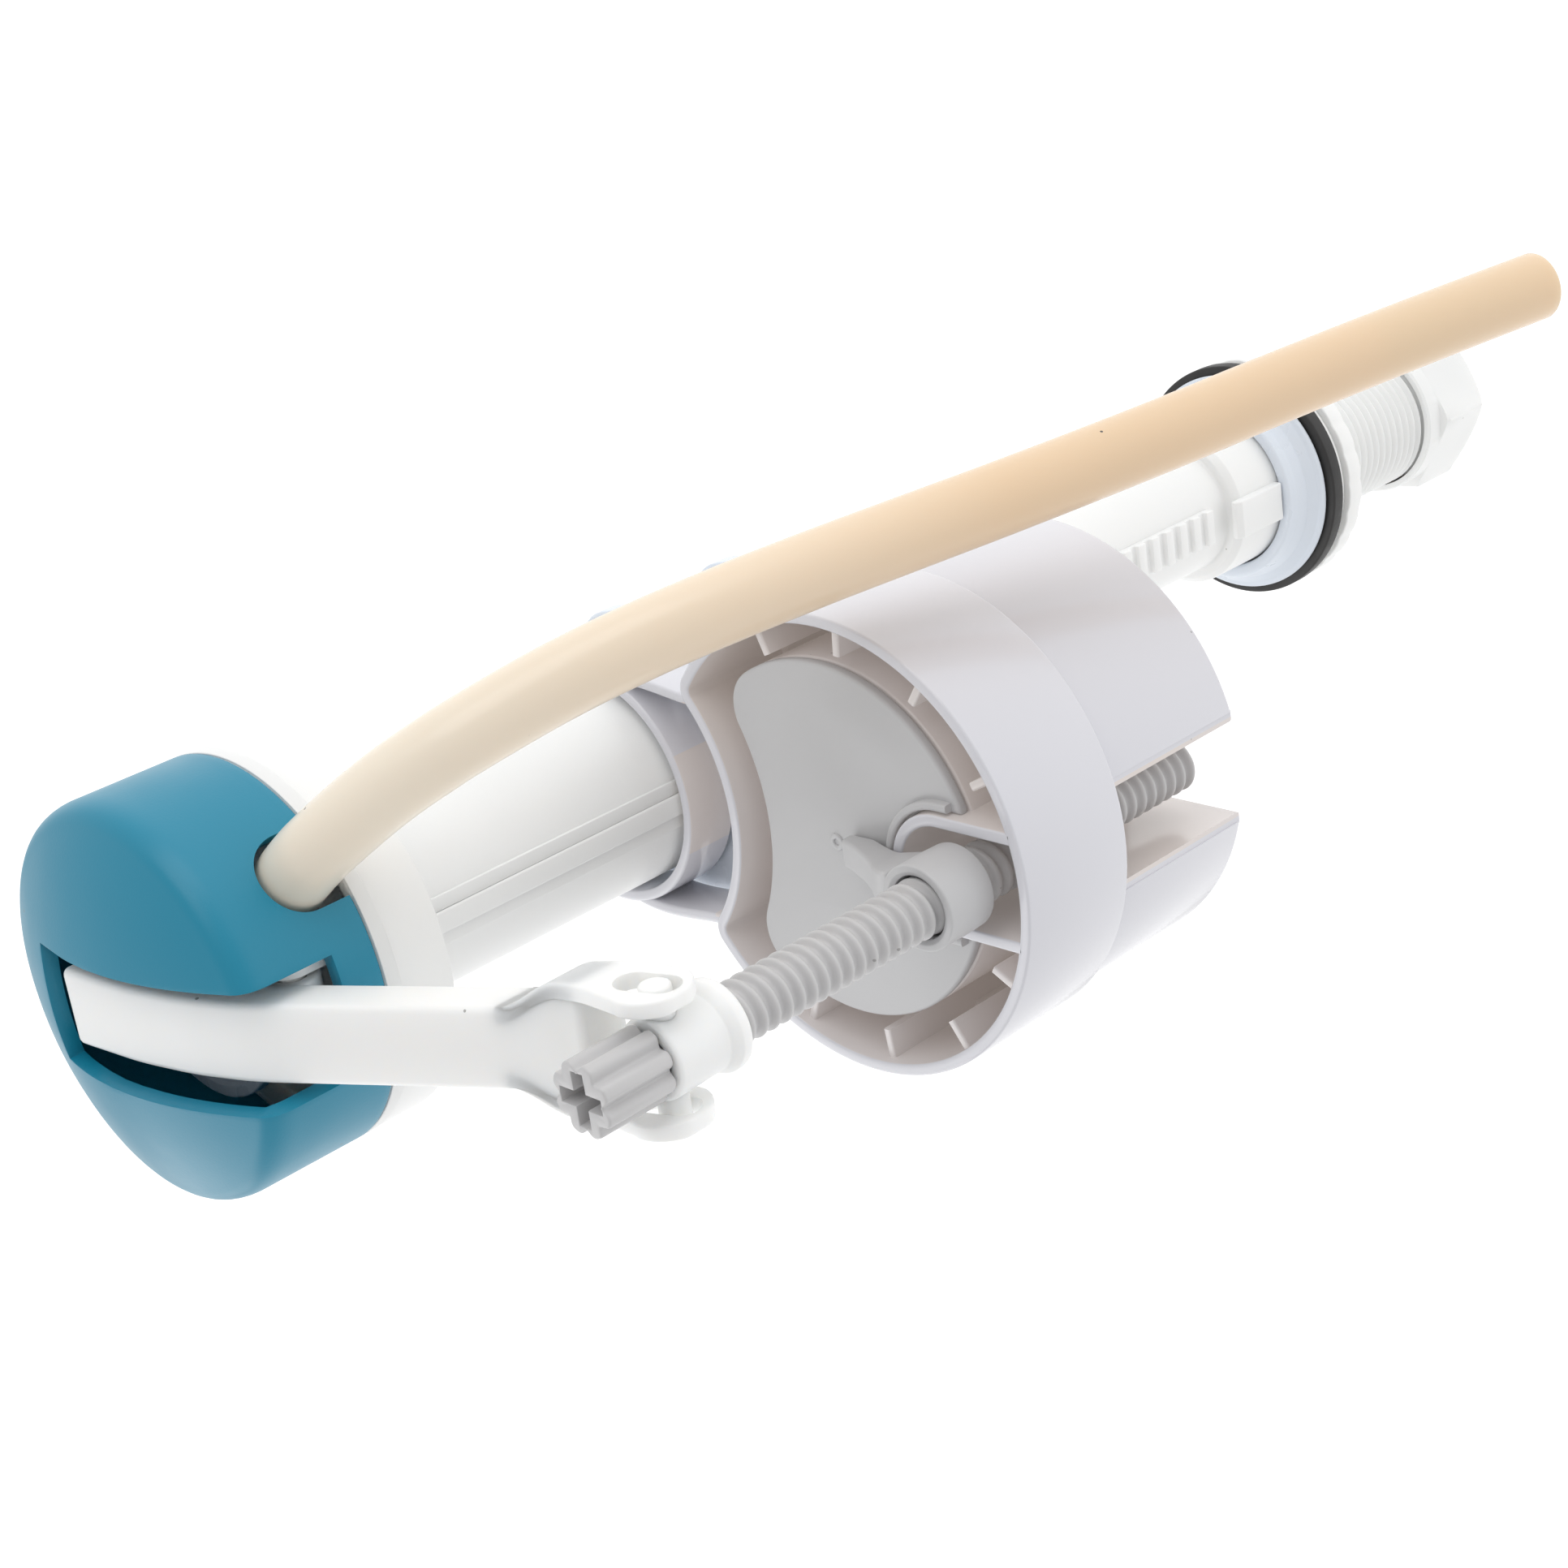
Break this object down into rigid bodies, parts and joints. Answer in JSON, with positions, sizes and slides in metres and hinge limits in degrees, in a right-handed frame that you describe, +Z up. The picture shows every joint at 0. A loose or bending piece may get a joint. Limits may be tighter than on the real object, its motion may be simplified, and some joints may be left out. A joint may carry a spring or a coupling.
{
  "type": "float valve",
  "caption": "Toilet-tank float valve: adjustable riser on a threaded shank, domed cap, lever, screw-set side float and refill hose.",
  "frame": {"origin": "on the shank's axis in the plane of the rubber washer's underside, which is the tank floor", "axes": "+Z up the riser to the cap, +X from the riser to the float's adjusting rod, +Y on the side of the refill hose"},
  "size_m": [0.1121, 0.0831, 0.2785],
  "materials": {
    "white_acetal": "satin white moulded plastic",
    "cool_white_plastic": "cool bluish white moulded plastic",
    "float_plastic": "pale lavender-grey glossy plastic",
    "lid_plastic": "grey-white fine satin plastic",
    "natural_plastic": "natural milky translucent plastic",
    "teal_plastic": "satin teal moulded plastic",
    "black_rubber": "black rubber",
    "cream_vinyl": "flexible cream vinyl tube"
  },
  "bodies": {
    "base": {"lower_riser": "white_acetal", "flange_skirt": "cool_white_plastic", "shank_washer": "black_rubber", "inlet_screen": "white_acetal", "flow_restrictor": "black_rubber"},
    "slip": {"slip_washer": "white_acetal"},
    "nut": {"lock_nut": "white_acetal"},
    "supply_washers": {"cone_washer": "black_rubber", "friction_ring": "white_acetal"},
    "supply_nut": {"coupling_nut": "white_acetal"},
    "riser": {"riser_tube": "white_acetal", "riser_gasket": "black_rubber", "inlet_tube": "white_acetal", "slide_oring": "black_rubber", "head_body": "white_acetal", "lever_pin": "white_acetal", "refill_nipple": "white_acetal", "diaphragm": "black_rubber", "diaphragm_plate": "white_acetal", "bonnet": "cool_white_plastic", "top_cap": "teal_plastic", "refill_hose": "cream_vinyl"},
    "lock_ring": {"height_lock_ring": "cool_white_plastic"},
    "lever": {"float_lever": "natural_plastic"},
    "pilot": {"pilot_plunger": "white_acetal", "pilot_seal": "black_rubber"},
    "barrel": {"trunnion_barrel": "natural_plastic"},
    "rod": {"adjusting_rod": "lid_plastic"},
    "float": {"float_shell": "float_plastic", "float_lid": "lid_plastic", "rod_clip": "lid_plastic"}
  },
  "joints": [
    {"name": "lock_nut_travel", "type": "slide", "parent": "base", "child": "slip", "axis": [0, 0, -1], "range_m": [0, 0.01815]},
    {"name": "lock_nut_turn", "type": "hinge", "parent": "slip", "child": "nut", "pos_m": [0, 0, -0.004], "axis": [0, 0, -1], "range_deg": [0, 3600]},
    {"name": "supply_nut_travel", "type": "slide", "parent": "base", "child": "supply_washers", "axis": [0, 0, -1], "range_m": [0, 0.00907]},
    {"name": "supply_nut_turn", "type": "hinge", "parent": "supply_washers", "child": "supply_nut", "pos_m": [0, 0, -0.043], "axis": [0, 0, -1], "range_deg": [-60, 1860]},
    {"name": "riser_height", "type": "slide", "parent": "base", "child": "riser", "axis": [0, 0, 1], "range_m": [-0.02, 0.035]},
    {"name": "lock_ring_turn", "type": "hinge", "parent": "riser", "child": "lock_ring", "pos_m": [0, 0, 0.125], "axis": [0, 0, 1], "range_deg": [0, 60]},
    {"name": "float_rise", "type": "slide", "parent": "riser", "child": "barrel", "axis": [0, 0, 1], "range_m": [0, 0.006]},
    {"name": "lever_swing", "type": "hinge", "parent": "riser", "child": "lever", "pos_m": [0.0195, 0, 0.212], "axis": [0, -1, 0], "range_deg": [0, 6.95]},
    {"name": "pilot_press", "type": "slide", "parent": "riser", "child": "pilot", "axis": [0, 0, -1], "range_m": [0, 0.00201]},
    {"name": "rod_turn", "type": "hinge", "parent": "barrel", "child": "rod", "pos_m": [0.0656, 0, 0.196], "axis": [0, 0, -1], "range_deg": [-60, 2220]},
    {"name": "float_adjust", "type": "slide", "parent": "barrel", "child": "float", "axis": [0, 0, 1], "range_m": [0, 0.012]}
  ],
  "couplings": [
    {"joint": "lock_nut_travel", "follows": "lock_nut_turn", "m_per_rad": 0.00028871},
    {"joint": "supply_nut_turn", "follows": "supply_nut_travel", "rad_per_m": 3463.7},
    {"joint": "lever_swing", "follows": "float_rise", "rad_per_m": 20.07},
    {"joint": "pilot_press", "follows": "float_rise", "ratio": 0.3333},
    {"joint": "rod_turn", "follows": "float_adjust", "rad_per_m": 3141.6}
  ]
}
